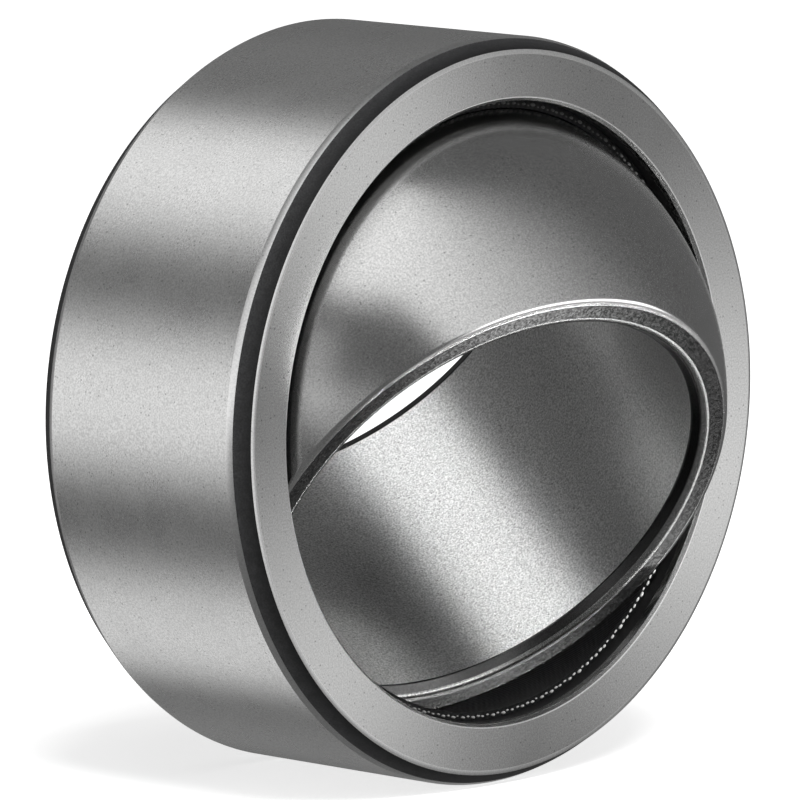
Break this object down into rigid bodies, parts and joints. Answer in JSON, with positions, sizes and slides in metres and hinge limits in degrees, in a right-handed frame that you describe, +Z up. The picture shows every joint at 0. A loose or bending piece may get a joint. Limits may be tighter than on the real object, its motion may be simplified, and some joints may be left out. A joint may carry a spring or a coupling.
{
  "type": "spherical plain bearing",
  "caption": "Radial spherical plain bearing: a steel ball ring with a plain bore that swivels in a fabric-lined one-piece outer ring.",
  "frame": {"origin": "centre of the ball and of the outer ring, the point that everything swivels about", "axes": "+Y along the outer ring's axis, towards its rear face; +Z up as the ring stands on its outside; +X to the right seen from the front face"},
  "size_m": [0.047, 0.0376, 0.047],
  "materials": {
    "outer_steel": "ground satin, chamfers dark as hardened",
    "liner_fabric": "black woven low-friction fabric in resin",
    "inner_steel": "ball lapped to a soft polish, faces ground"
  },
  "bodies": {
    "outer": {"outer_ring": "outer_steel", "fabric_liner": "liner_fabric"},
    "inner": {"inner_ring": "inner_steel"}
  },
  "joints": [
    {"name": "swivel", "type": "hinge", "parent": "outer", "child": "inner", "pos_m": [0, 0, 0], "axis": [0.9636, 0, -0.2672], "continuous": true}
  ]
}
